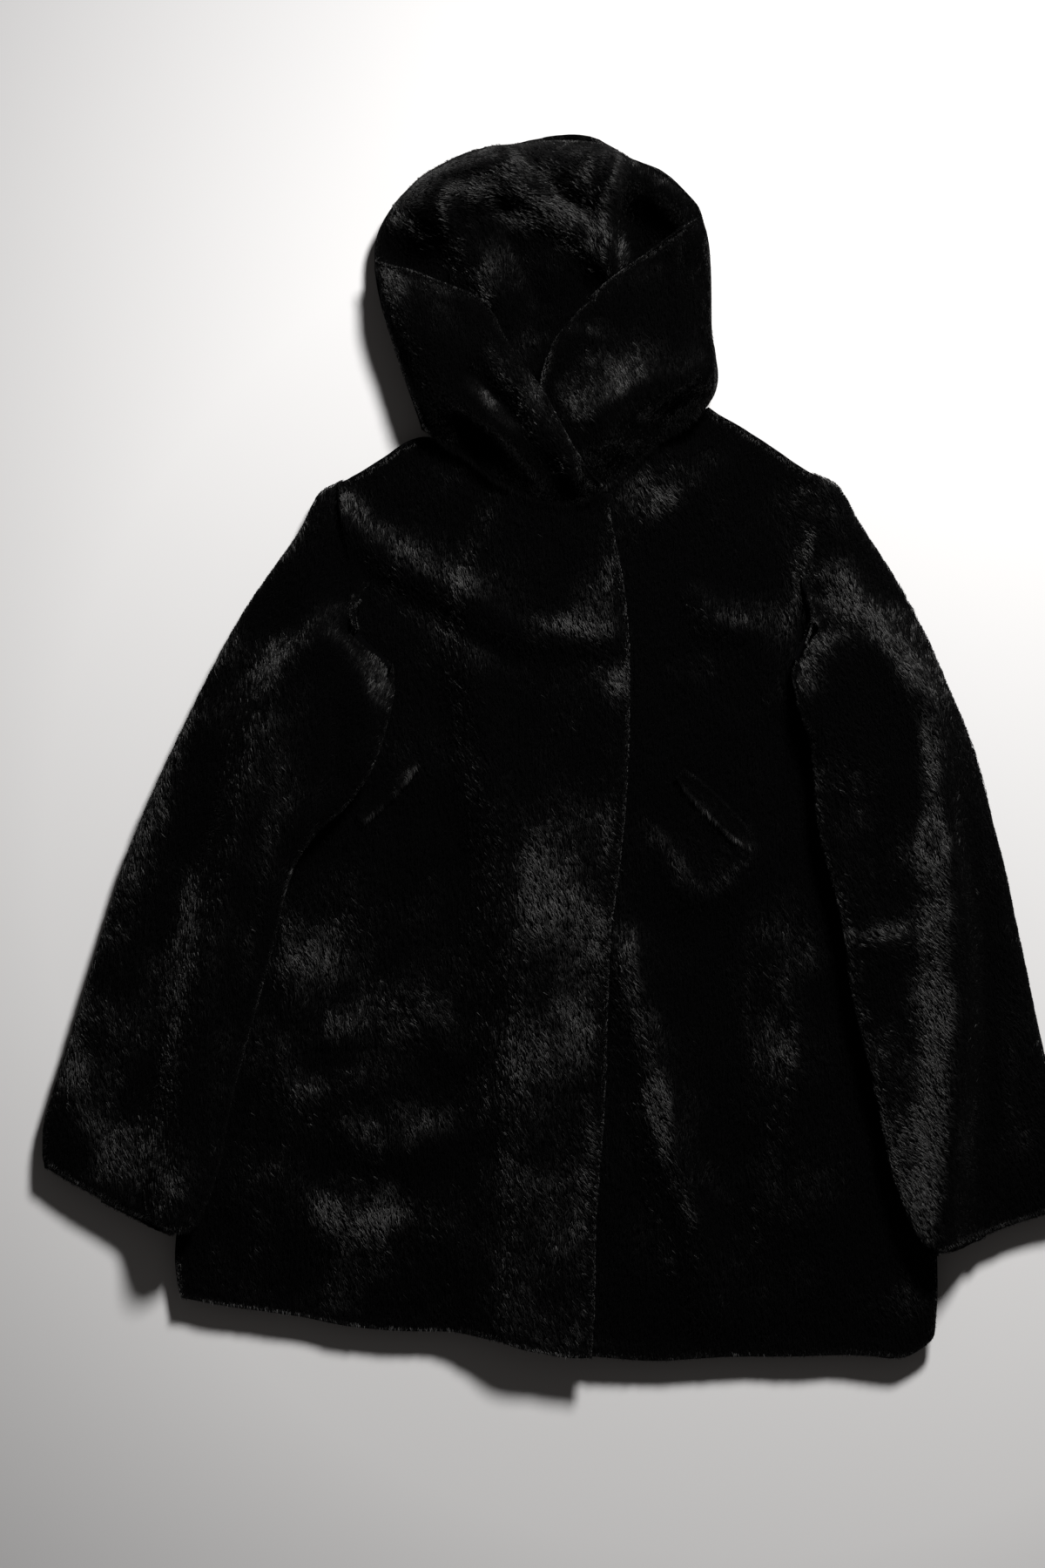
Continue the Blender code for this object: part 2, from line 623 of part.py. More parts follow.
def make_body():
    plan = simple_plan(BACK_GRID, (RIGHT_SIDE, LEFT_SIDE), HEM, BACK_NECKLINE)
    panel("back", plan, np.zeros(plan.shape[:2]))

    hem = [UNDERLAP[0]] + [point for point in HEM if point[0] > UNDERLAP[0][0]]
    plan = simple_plan(LEFT_FRONT_GRID, (UNDERLAP, LEFT_SIDE), hem, LEFT_NECKLINE)
    relief = FRONT_AIR + raised(plan, LEFT_FRONT_FOLDS)
    panel("front_left", plan, settled(plan, ["back"], BRIDGE_LEFT_FRONT, relief))

    grid = RIGHT_FRONT_GRID
    step = [(x - STEP_RIM.distance[-1], y) for x, y in UNDERLAP]
    past_step = grid.columns // 3
    spaces = [
        Space(grid.columns - past_step, WALL_RIM, PLAIN),
        Space(past_step, STEP_RIM, WALL_RIM),
    ]
    hem = [point for point in HEM if point[0] < PLACKET[0][0]] + [PLACKET[0]]
    rows = spaced(grid.length, grid.rows)
    plan = weave((RIGHT_SIDE, step, PLACKET), hem, RIGHT_NECKLINE, spaces, rows)
    relief = FRONT_AIR + raised(plan, RIGHT_FRONT_FOLDS)
    below = ["back", "front_left"]
    panel("front_right", plan, settled(plan, below, BRIDGE_RIGHT_FRONT, relief))


def make_sleeves():
    guides = (RIGHT_SLEEVE_OUTER, RIGHT_SLEEVE_CREASE, RIGHT_SLEEVE_INNER)
    sleeve("sleeve_right", guides, RIGHT_CUFF, RIGHT_ARMHOLE, "front_right", RIGHT_SLEEVE_FOLDS)
    guides = (LEFT_SLEEVE_INNER, LEFT_SLEEVE_CREASE, LEFT_SLEEVE_OUTER)
    sleeve("sleeve_left", guides, LEFT_CUFF, LEFT_ARMHOLE, "front_left", LEFT_SLEEVE_FOLDS)


def hood_back_height(plan):
    """The hood's middle panel: a bowl below the flaps, and a roll along the crown."""
    outline = HOOD_RIGHT_OUTLINE + HOOD_CROWN[1:] + HOOD_LEFT_OUTLINE[-2::-1]
    inward = distance(plan, outline)
    bowl = BOWL_RISE * (1 - ease(inward / BOWL_WIDTH))
    roll = ROLL_EDGE + ROLL_RISE * ease(inward / ROLL_WIDTH)
    roll -= ROLL_DROP * ease((inward - ROLL_BACK) / ROLL_BACK_WIDTH)
    crown = ease((plan[..., 1] - CROWN_START) / CROWN_BLEND)
    folds = ease(inward / INSIDE_WIDTH) * raised(plan, HOOD_BACK_FOLDS)
    return np.maximum((1 - crown) * bowl + crown * roll + folds, 0)


def flap(name, grid, guides, neck, top, sides, crest, folds, below):
    """A side of the hood: up from the neck seam and the outline to a crest, and drooping
    towards its free edge. Its sides are the one at the outline and the free one."""
    outer, free = sides
    plan = simple_plan(grid, guides, neck, top)
    plan = parted(plan, 0, [name.replace("hood", "front")])
    height = FLAP_EDGE + (crest - FLAP_EDGE) * ease(distance(plan, outer) / FLAP_WIDTH)
    height -= FLAP_DROOP * np.exp(-((distance(plan, free) / FLAP_DROOP_WIDTH) ** 2))
    height = height + raised(plan, folds) - FLAP_NECK
    height = FLAP_NECK + height * ease(distance(plan, neck) / FLAP_NECK_WIDTH)
    panel(name, plan, cleared(plan, height, ground(below)))


def make_hood():
    guides = (HOOD_RIGHT_OUTLINE, HOOD_LEFT_OUTLINE)
    plan = simple_plan(HOOD_GRID, guides, HOOD_NECK, HOOD_CROWN)
    plan = parted(plan, 0, ["back"])
    panel("hood_back", plan, hood_back_height(plan))

    flap(
        "hood_left",
        LEFT_FLAP_GRID,
        (LEFT_FLAP_FREE, LEFT_FLAP_OUTER),
        LEFT_FLAP_NECK,
        LEFT_FLAP_TOP,
        (LEFT_FLAP_OUTER, LEFT_FLAP_FREE + LEFT_FLAP_TOP[1:]),
        LEFT_CREST,
        LEFT_FLAP_FOLDS,
        ["back", "hood_back"],
    )
    flap(
        "hood_right",
        RIGHT_FLAP_GRID,
        (RIGHT_FLAP_OUTER, RIGHT_FLAP_FREE),
        RIGHT_FLAP_NECK,
        RIGHT_FLAP_TOP,
        (RIGHT_FLAP_OUTER, RIGHT_FLAP_FREE + RIGHT_FLAP_TOP[-2::-1]),
        RIGHT_CREST,
        RIGHT_FLAP_FOLDS,
        ["back", "front_left", "hood_back", "hood_left"],
    )


def make_pocket(name, lip, front):
    """A furry lip along a slanted pocket's mouth, laid on the front."""
    start, end = np.array(lip.start, float), np.array(lip.end, float)
    run = end - start
    side = np.array([-run[1], run[0]]) / np.linalg.norm(run) * lip.breadth / 2
    if side[1] < 0:
        side = -side
    lengthwise = spaced(np.linalg.norm(run), POCKET_STEPS)
    breadthwise = spaced(lip.breadth, LIP_STEPS)
    bow = (1 - POCKET_TAPER * (2 * lengthwise - 1) ** 4)[:, None, None]
    line = start + lengthwise[:, None] * run
    plan = line[:, None] + bow * (1 - 2 * breadthwise)[None, :, None] * side
    on = ground([front])
    height = cleared(plan, on.at(plan) + REST_GAP, on)
    panel(name, plan, height, wall=lip.rise)


def centre(pieces):
    """Moves the pieces' points so that the middle of the box round them is over the origin."""
    corners = np.array([corner for piece in pieces for corner in piece.bound_box])
    middle = (corners.min(axis=0) + corners.max(axis=0)) / 2
    for piece in pieces:
        piece.data.transform(Matrix.Translation((-middle[0], -middle[1], 0)))


def make_coat():
    make_body()
    make_sleeves()
    make_hood()
    make_pocket("pocket_left", LEFT_POCKET, "front_left")
    make_pocket("pocket_right", RIGHT_POCKET, "front_right")
    centre(bpy.context.scene.collection.objects)


for old in list(bpy.data.objects):
    bpy.data.objects.remove(old, do_unlink=True)
make_coat()
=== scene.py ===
import math

import bmesh
import bpy
import numpy as np
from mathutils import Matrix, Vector, noise
from mathutils.bvhtree import BVHTree
from mathutils.kdtree import KDTree


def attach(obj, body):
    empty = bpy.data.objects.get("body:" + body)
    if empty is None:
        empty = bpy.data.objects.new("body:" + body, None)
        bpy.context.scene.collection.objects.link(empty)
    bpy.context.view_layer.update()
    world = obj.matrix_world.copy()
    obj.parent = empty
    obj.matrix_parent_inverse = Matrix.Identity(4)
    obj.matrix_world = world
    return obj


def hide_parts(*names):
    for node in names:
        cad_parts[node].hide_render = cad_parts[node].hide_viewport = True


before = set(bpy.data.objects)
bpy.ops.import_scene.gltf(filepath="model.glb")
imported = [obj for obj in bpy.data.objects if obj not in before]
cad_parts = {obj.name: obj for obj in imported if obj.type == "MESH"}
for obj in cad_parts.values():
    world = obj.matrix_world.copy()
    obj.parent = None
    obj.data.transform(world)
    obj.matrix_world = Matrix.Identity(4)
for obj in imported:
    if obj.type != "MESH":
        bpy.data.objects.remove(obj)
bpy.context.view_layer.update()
mm = 0.001
noise.seed_set(3)  # without a seed the folds would differ from run to run


view = {
    "centre": (-0.0356, -0.030),  # what the photograph's middle looks at
    "height": 4.0,
    "film": 36,
    "frameHeight": 1.35,  # metres of floor from the top to the bottom of the picture
    "coatHeight": 0.03,  # the level at which that holds
}

studio = {
    "keyFrom": (0.285, 0.673, 0.682),  # towards the lamp
    "keyDistance": 2.6,
    "keySize": 0.55,
    "keyPower": 90.0,
    "keyColour": (1.0, 0.985, 0.965),
    "sky": (1.0, 0.93, 0.88),
    "skyStrength": 0.032,
    "paintedLightCentre": (0.15, -0.10, 0),  # a painted pool of light centres here: the floor's colour below is painted palest near it and painted darker far from it, where the lamp's light falls off
    "floorPaintedLitColour": (0.87, 0.87, 0.88),
    "floorPaintedShadeColour": (0.58, 0.58, 0.59),
    "floorSize": 6,
}


def makeCamera():
    lens = bpy.data.cameras.new("camera")
    camera = bpy.data.objects.new("camera", lens)
    bpy.context.scene.collection.objects.link(camera)
    camera.location = (*view["centre"], view["height"])
    lens.sensor_width = view["film"]
    lens.lens = lens.sensor_width * (view["height"] - view["coatHeight"]) / view["frameHeight"]
    lens.clip_start = 0.05
    lens.clip_end = 50
    bpy.context.scene.camera = camera
    bpy.context.scene.view_settings.view_transform = "Standard"


def makeLight():
    lamp = bpy.data.lights.new("key", "AREA")
    lamp.shape = "DISK"
    lamp.size = studio["keySize"]
    lamp.energy = studio["keyPower"]
    lamp.color = studio["keyColour"]
    key = bpy.data.objects.new("key", lamp)
    bpy.context.scene.collection.objects.link(key)
    towards = Vector(studio["keyFrom"]).normalized()
    key.location = towards * studio["keyDistance"]
    key.rotation_euler = towards.to_track_quat("Z", "Y").to_euler()
    world = bpy.data.worlds.new("studio")
    world.use_nodes = True
    sky = world.node_tree.nodes["Background"]
    sky.inputs["Color"].default_value = (*studio["sky"], 1)
    sky.inputs["Strength"].default_value = studio["skyStrength"]
    bpy.context.scene.world = world


# node outputs that can be summed and multiplied like numbers
class Sum:
    def __init__(self, nodes, socket):
        self.nodes = nodes
        self.socket = socket

    def maths(self, operation, *values):
        return self.nodes.add("ShaderNodeMath", {"operation": operation}, dict(enumerate(values)))

    def __add__(self, other):
        return self.maths("ADD", self, other)

    def __mul__(self, other):
        return self.maths("MULTIPLY", self, other)

    __radd__ = __add__
    __rmul__ = __mul__


class Nodes:
    def __init__(self, name):
        self.material = bpy.data.materials.new(name)
        self.material.use_nodes = True
        self.tree = self.material.node_tree
        self.shader = self.tree.nodes["Principled BSDF"]

    def add(self, kind, settings, inputs, output=0):
        node = self.tree.nodes.new(kind)
        for key, value in settings.items():
            if key == "stops":
                ramp = node.color_ramp.elements
                for element, (position, colour) in zip(ramp, (value[0], value[-1])):
                    element.position = position
                    element.color = (*colour, 1)
                for position, colour in value[1:-1]:
                    ramp.new(position).color = (*colour, 1)
            else:
                setattr(node, key, value)
        for key, value in inputs.items():
            self.fill(node.inputs[key], value)
        return Sum(self, node.outputs[output])

    def fill(self, socket, value):
        if isinstance(value, Sum):
            self.tree.links.new(value.socket, socket)
        else:
            socket.default_value = value

    def finish(self, **sockets):
        for key, value in sockets.items():
            self.fill(self.shader.inputs[key.replace("_", " ")], value)
        return self.material


pile = {
    "rootColour": (0.0010, 0.0010, 0.0011),
    "tipColour": (0.0017, 0.0017, 0.0019),
    "roughness": 0.42,
    "roughnessChange": 0.12,  # from strand to strand
    "gloss": 0.13,
    "bend": 1.52,  # index of refraction
    "sheen": 0.05,
    "sheenRoughness": 0.4,
    "length": 5 * mm,
    "patch": 42 * mm,  # size of the broad changes in the nap
    "ripple": 15 * mm,  # of the smaller ones
    "tuft": 2.8 * mm,
    "patchTurn": 1.7,  # radians that the nap turns aside, where it is fully disordered
    "rippleTurn": 0.8,
    "tuftTurn": 0.24,
    "strayTurn": 0.22,
    "patchLift": 1.2,  # and radians that it rises
    "rippleLift": 0.6,
    "tuftLift": 0.07,
    "disorderTuftLift": 0.10,
    "strayLift": 0.06,
    "tuftHeight": 0.3 * mm,
    "overShare": 0.65,  # of the strands lie over the others, nearly flat
    "overLift": -0.31,
    "underLift": 1.35,
    "roll": 0.14,
    "width": 0.46 * mm,
    "widths": (0.7, 1.3),  # from strand to strand, as shares
    "lengths": (0.75, 1.2),
    "underLength": 0.8,
    "edgeLength": 0.35,  # shorter by this share at a free edge
    "edgeHeight": 0.55,  # and starting lower by this one
    "sideHeight": 0.35,  # of the full height, where the cloth stands upright
    "edgeCrowd": 1.2,  # more strands at a free edge, and on steep cloth
    "steepCrowd": 1.5,
    "underThin": 0.6,  # fewer on the underside
    "edgeReach": 7 * mm,  # how far a free edge changes the pile
    "wander": 3 * mm,  # of the tufts
    "stretch": (1, 0.6, 1),  # the changes are longer along the coat than across it
    "heights": (0.02, 1),  # of the roots of the upper strands, before the power below
    "heightPower": 0.33,  # crowds them towards the top
    "shineWay": (0.155, 0.367, 0.917),  # the flat sides of the strands turn this way
}


def pileMaterial(name):
    # each strand has its own place across the map, which shades it, and its root and tip lie along it
    shadesAcross = 40.0
    middle = (0.55, tuple(0.6 * c for c in pile["tipColour"]))
    change = pile["roughnessChange"]
    nodes = Nodes(name)
    strand = nodes.add("ShaderNodeUVMap", {"uv_map": "OFBake"}, {})
    parts = nodes.add("ShaderNodeSeparateXYZ", {}, {0: strand})
    along = Sum(nodes, parts.socket.node.outputs[1])
    across = Sum(nodes, parts.socket.node.outputs[0])
    places = {"W": across * shadesAcross, "Detail": 1.0}
    shade = nodes.add("ShaderNodeTexNoise", {"noise_dimensions": "1D"}, places)
    stops = [(0.0, pile["rootColour"]), middle, (1.0, pile["tipColour"])]
    colour = nodes.add("ShaderNodeValToRGB", {"stops": stops}, {0: along * (0.6 + 0.8 * shade)})
    return nodes.finish(
        Base_Color=colour,
        Roughness=pile["roughness"] - change / 2 + change * shade,
        Specular_IOR_Level=pile["gloss"],
        IOR=pile["bend"],
        Sheen_Weight=pile["sheen"],
        Sheen_Roughness=pile["sheenRoughness"],
    )


backing = {
    "dark": (0.0006, 0.0006, 0.0007),
    "pale": (0.0012, 0.0012, 0.0014),
    "knit": 900.0,  # stitches to the metre, roughly
    "relief": 0.0006,
    "thickness": 1.2 * mm,
    "lowest": 1.6 * mm,  # above the floor
    "thinning": 0.3,  # share of the triangles that is kept
}


def backingMaterial(name):
    nodes = Nodes(name)
    place = nodes.add("ShaderNodeTexCoord", {}, {}, output="Object")
    knit = nodes.add("ShaderNodeTexNoise", {}, {"Vector": place, "Scale": backing["knit"], "Detail": 2.0})
    stops = [(0.3, backing["dark"]), (0.7, backing["pale"])]
    colour = nodes.add("ShaderNodeValToRGB", {"stops": stops}, {0: knit})
    bump = nodes.add("ShaderNodeBump", {}, {"Strength": 0.4, "Distance": backing["relief"], "Height": knit})
    return nodes.finish(Base_Color=colour, Roughness=0.9, Normal=bump, Specular_IOR_Level=0.02)


seams = {
    "reach": 12 * mm,  # edges nearer than this to a partner are sewn to it
    "underarm": 50 * mm,  # and only above this place up the coat
    "moved": 9 * mm,  # how far from an edge the sheet moves with it
    "corner": 16 * mm,  # the lap fades out this near to a free edge
    "leash": 6.2 * mm,  # a lap goes no farther than this from the solids
    "shortest": 0.5 * mm,  # laps shorter than this aren't cut down further
    "dipReach": 14 * mm,  # a lap sinks towards a neighbour that is this near
    "dip": 0.6,
}


def smoothPath(points):
    # a Hermite curve through the points, as 14 new ones
    count = 14
    points = np.asarray(points, float)
    if len(points) < 3:
        return points
    step = np.linalg.norm(np.diff(points, axis=0), axis=1)
    along = np.concatenate([[0], np.cumsum(step)])
    slope = np.gradient(points, along, axis=0)
    at = np.linspace(0, along[-1], count)
    i = np.clip(np.searchsorted(along, at, side="right") - 1, 0, len(step) - 1)
    length = step[i][:, None]
    s = (at - along[i])[:, None] / length
    start = (2 * s**3 - 3 * s**2 + 1) * points[i] + (s**3 - 2 * s**2 + s) * length * slope[i]
    end = (3 * s**2 - 2 * s**3) * points[i + 1] + (s**3 - s**2) * length * slope[i + 1]
    return start + end


def pathDistance(points, path):
    nearest = np.full(len(points), np.inf)
    for a, b in zip(path[:-1], path[1:]):
        run = b - a
        share = np.clip((points - a) @ run / (run @ run), 0, 1)
        nearest = np.minimum(nearest, np.linalg.norm(points - (a + share[:, None] * run), axis=1))
    return nearest


def creaseHeight(points, creases):
    height = np.zeros(len(points))
    for rise, width, *path in creases:
        height += rise * np.exp(-((pathDistance(points, smoothPath(path)) / width) ** 2))
    return height


def mergedCopy(node):
    bm = bmesh.new()
    bm.from_mesh(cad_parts[node].data)
    bmesh.ops.remove_doubles(bm, verts=bm.verts, dist=0.02 * mm)
    bm.normal_update()
    return bm


def refined(bm, longest):
    rounds = 6
    for _ in range(rounds):
        edges = [edge for edge in bm.edges if edge.calc_length() > longest]
        if not edges:
            break
        bmesh.ops.subdivide_edges(bm, edges=edges, cuts=1)
        bmesh.ops.triangulate(bm, faces=[face for face in bm.faces if len(face.verts) > 3])
    bmesh.ops.beautify_fill(bm, faces=bm.faces, edges=[edge for edge in bm.edges if not edge.is_boundary])


def smoothed(bm, times):
    inside = [vert for vert in bm.verts if not vert.is_boundary]
    axes = {"use_axis_x": True, "use_axis_y": True, "use_axis_z": True}
    for _ in range(times):
        bmesh.ops.smooth_vert(bm, verts=inside, factor=0.5, **axes)


def trimmed(bm):
    # takes off ears left at the cut and evens the cut's run
    rounds = 3
    for _ in range(rounds):
        ears = [face for face in bm.faces if sum(edge.is_boundary for edge in face.edges) > 1]
        bmesh.ops.delete(bm, geom=ears, context="FACES")
    bmesh.ops.delete(bm, geom=[v for v in bm.verts if not v.link_faces], context="VERTS")
    evenRim(bm, times=4)


def evenRim(bm, times):
    # draws the edge's vertices into line, but leaves its corners
    corner = 0.9
    for _ in range(times):
        moved = {}
        for vert in bm.verts:
            if vert.is_boundary:
                ends = [edge.other_vert(vert).co for edge in vert.link_edges if edge.is_boundary]
                if len(ends) == 2 and (ends[0] - vert.co).angle(vert.co - ends[1], 0) < corner:
                    moved[vert] = vert.co.lerp((ends[0] + ends[1]) / 2, 0.5)
        for vert, place in moved.items():
            vert.co = place


def solidTree(node):
    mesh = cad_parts[node].data
    return BVHTree.FromPolygons([v.co for v in mesh.vertices], [p.vertices for p in mesh.polygons])


def markSeams(bm, partners):
    # the edge's vertices that are sewn to another piece carry 1 in the layer "seam"
    layer = bm.verts.layers.float.new("seam")
    trees = [solidTree(node) for node in partners]
    for vert in bm.verts:
        if vert.is_boundary and vert.co.y > seams["underarm"]:
            vert[layer] = any(tree.find_nearest(vert.co, seams["reach"])[0] is not None for tree in trees)


def edgeField(bm, sewn=False):
    # for each vertex how far it is from a free (or sewn) edge, and the way out over that edge
    neighbours, soft = 3, 1 * mm
    layer = bm.verts.layers.float["seam"]
    rim = [vert for vert in bm.verts if vert.is_boundary and (vert[layer] > 0.5) == sewn]
    tree = KDTree(max(len(rim), 1))
    outward = []
    for i, vert in enumerate(rim):
        tree.insert(vert.co, i)
        away = Vector()
        for edge in vert.link_edges:
            if edge.is_boundary:
                face = edge.link_faces[0]
                middle = (edge.verts[0].co + edge.verts[1].co) / 2
                along = (edge.verts[1].co - edge.verts[0].co).normalized()
                side = middle - face.calc_center_median()
                away += (side - along * side.dot(along)).normalized()
        outward.append(away.normalized())
    tree.balance()
    gaps, ways = [], []
    for vert in bm.verts:
        way, gap = Vector(), 1.0
        for place, i, far in tree.find_n(vert.co, neighbours):
            gap = min(gap, far)
            way += outward[i] / (far + soft)
        gaps.append(gap)
        ways.append(way.normalized())
    return np.array(gaps), np.array(ways)


def nearness(gaps, reach):
    return np.exp(-((gaps / reach) ** 2))


def shiftEdges(bm, inset, lap, node, partners, towards=None):
    # draws the sheet in at its free edges and out under its neighbours at the sewn ones
    solids = [solidTree(name) for name in (node, *partners)]
    gaps, ways = edgeField(bm)
    for vert, share, way in zip(bm.verts, nearness(gaps, seams["moved"]), ways):
        vert.co -= Vector((way[0], way[1], 0)) * inset * share
    corner = nearness(gaps, seams["corner"])
    gaps, ways = edgeField(bm, sewn=True)
    for vert, share, way in zip(bm.verts, nearness(gaps, seams["moved"]) * (1 - corner), ways):
        step = (Vector(towards) if towards else Vector((way[0], way[1], 0))) * lap * share
        while step.length > seams["shortest"]:
            if any(solid.find_nearest(vert.co + step, seams["leash"])[0] is not None for solid in solids):
                break
            step *= 0.6
        vert.co += step
        for solid in solids[1:] if share > 0.1 else ():
            near = solid.find_nearest(vert.co, seams["dipReach"])[0]
            if near is not None and near.z < vert.co.z:
                vert.co.z += seams["dip"] * share * (near.z - vert.co.z)
                break


def levelled(bm, partners, towards):
    # brings the tube's upper side to the level of its neighbour's sheet at the seam
    reach, fade = 40 * mm, 22 * mm
    beyond = 8 * mm  # the neighbour's level is read this far past the seam
    depth = 8 * mm  # its sheet lies this far below its solid's top
    solids = [solidTree(name) for name in partners]
    gaps = edgeField(bm, sewn=True)[0]
    for vert, gap in zip(bm.verts, gaps):
        if vert.normal.z > 0.1 and gap < reach:
            spot = vert.co + Vector(towards) * (gap + beyond)
            spot.z = 1
            hits = [solid.ray_cast(spot, Vector((0, 0, -1)))[0] for solid in solids]
            tops = [hit.z for hit in hits if hit is not None]
            if tops:
                vert.co.z += math.exp(-((gap / fade) ** 2)) * (max(tops) - depth - vert.co.z)


def addCreases(bm, creases, roll):
    # the creases of the table, low waves, and a roll just inside the turned edges
    waveSize, waveHeight, waveSeed = 46 * mm, 2.4 * mm, 3
    rollInset, rollWidth = 8 * mm, 6 * mm
    lowest = 2.5 * mm
    plan = np.array([vert.co[:2] for vert in bm.verts]) / mm
    gaps = edgeField(bm)[0]
    waves = noiseField([vert.co for vert in bm.verts], waveSize, waveSeed)
    lifts = creaseHeight(plan, creases) * mm + waveHeight * waves[:, 0]
    lifts += roll * (0.7 + 1.2 * waves[:, 1]) * nearness(gaps - rollInset, rollWidth)
    for vert, lift in zip(bm.verts, lifts):
        if vert.normal.z > 0.2:
            vert.co.z = max(vert.co.z + lift, min(vert.co.z, lowest))
    bm.normal_update()


panelSheets = {
    "side": 1,  # the solid's upper side; -1 is its lower one
    "steepest": 0.12,  # faces that lean more than this belong to the wall's rim
    "inset": 5 * mm,
    "above": 3.5 * mm,  # above the solid's other side
    "longest": 8 * mm,  # edge of a triangle
    "lap": 5 * mm,
    "creases": (),
    "roll": 1.5 * mm,
    "smooth": 5,
}


def panelSheet(node, partners, **changes):
    # one side of a solid, drawn in at its free edges and laid near its other side
    facts = {**panelSheets, **changes}
    side, above = facts["side"], facts["above"]
    skin, unknown = 0.2 * mm, 4 * mm
    bm = mergedCopy(node)
    whole = BVHTree.FromBMesh(bm)
    unwanted = [face for face in bm.faces if face.normal.z * side < facts["steepest"]]
    bmesh.ops.delete(bm, geom=unwanted, context="FACES")
    bmesh.ops.delete(bm, geom=[v for v in bm.verts if not v.link_faces], context="VERTS")
    for vert in bm.verts:
        hit = whole.ray_cast(vert.co - Vector((0, 0, side * skin)), Vector((0, 0, -side)))
        thick = hit[3] if hit[0] is not None else unknown
        vert.co.z -= side * (thick - above if above < 0 else max(thick - above, 0.3 * thick))
    refined(bm, facts["longest"])
    trimmed(bm)
    markSeams(bm, partners)
    shiftEdges(bm, facts["inset"], facts["lap"], node, partners)
    evenRim(bm, times=4)
    smoothed(bm, facts["smooth"])
    bm.normal_update()
    addCreases(bm, facts["creases"], facts["roll"])
    return bm


def largestPart(faces):
    seen, best = set(), []
    for first in faces:
        if first in seen:
            continue
        group, todo = [], [first]
        seen.add(first)
        while todo:
            face = todo.pop()
            group.append(face)
            for other in (other for edge in face.edges for other in edge.link_faces):
                if other not in seen:
                    seen.add(other)
                    todo.append(other)
        best = max(best, group, key=len)
    return set(best)


tubeSheets = {
    "inset": 2.5 * mm,
    "longest": 8.5 * mm,  # edge of a triangle
    "skin": 0.1 * mm,
    "hollow": 11.5 * mm,  # a face with the solid this near before it is on the inside
    "wall": 18 * mm,  # and one with the wall's other side this near behind it is a skin
    "endward": 0.62,  # faces that look along the tube more than this are its ends
    "touch": 3 * mm,
    "flare": 9,  # mm that the end at the seam is pushed out
    "flareReach": 28 * mm,
    "edgeInset": 2 * mm,
    "lap": 8 * mm,
    "roll": 2 * mm,
}


def tubeSheet(node, partners, axis, creases):
    # the outer skin of a flattened tube, drawn in by a part of the pile's depth
    bm = mergedCopy(node)
    whole = BVHTree.FromBMesh(bm)
    axis = Vector(axis).normalized()
    others = [solidTree(partner) for partner in partners]

    def unwanted(face):
        # the inner skin, which sees the other wall close by, and the ends of the wall
        middle, normal = face.calc_center_median(), face.normal
        lift = normal * tubeSheets["skin"]
        if whole.ray_cast(middle + lift, normal, tubeSheets["hollow"])[0] is not None:
            return True
        if whole.ray_cast(middle - lift, -normal, tubeSheets["wall"])[0] is not None:
            return False
        touching = (tree.ray_cast(middle, normal, tubeSheets["touch"])[0] is not None for tree in others)
        return abs(normal.dot(axis)) > tubeSheets["endward"] or any(touching)

    bmesh.ops.delete(bm, geom=[face for face in bm.faces if unwanted(face)], context="FACES")
    kept = largestPart(bm.faces)
    bmesh.ops.delete(bm, geom=[f for f in bm.faces if f not in kept], context="FACES")
    refined(bm, tubeSheets["longest"])
    trimmed(bm)
    markSeams(bm, partners)
    smoothed(bm, times=3)
    bm.normal_update()
    moves = [vert.normal - axis * vert.normal.dot(axis) for vert in bm.verts]
    for vert, move in zip(bm.verts, moves):
        vert.co -= move * tubeSheets["inset"]
    gaps = edgeField(bm, sewn=True)[0]
    for vert, share in zip(bm.verts, nearness(gaps, tubeSheets["flareReach"])):
        vert.co += Vector((vert.normal.x, vert.normal.y, 0)) * tubeSheets["flare"] * mm * share
    towards = (-1 if axis.x > 0 else 1, 0, 0)
    shiftEdges(bm, tubeSheets["edgeInset"], tubeSheets["lap"], node, partners, towards)
    levelled(bm, partners, towards)
    evenRim(bm, times=16)
    smoothed(bm, times=5)
    bm.normal_update()
    addCreases(bm, creases, tubeSheets["roll"])
    return bm


def clothPiece(name, bm, thickness=backing["thickness"]):
    for vert in bm.verts:
        vert.co.z = max(vert.co.z, backing["lowest"])
    mesh = bpy.data.meshes.new(name)
    bm.to_mesh(mesh)
    mesh.materials.append(backingMaterial(name))
    for face in mesh.polygons:
        face.use_smooth = True
    piece = bpy.data.objects.new(name, mesh)
    bpy.context.scene.collection.objects.link(piece)
    thinned = piece.modifiers.new("thinned", "DECIMATE")
    thinned.ratio = backing["thinning"]
    wall = piece.modifiers.new("wall", "SOLIDIFY")
    wall.thickness = thickness
    wall.offset = -1
    wall.use_even_offset = False
    return piece


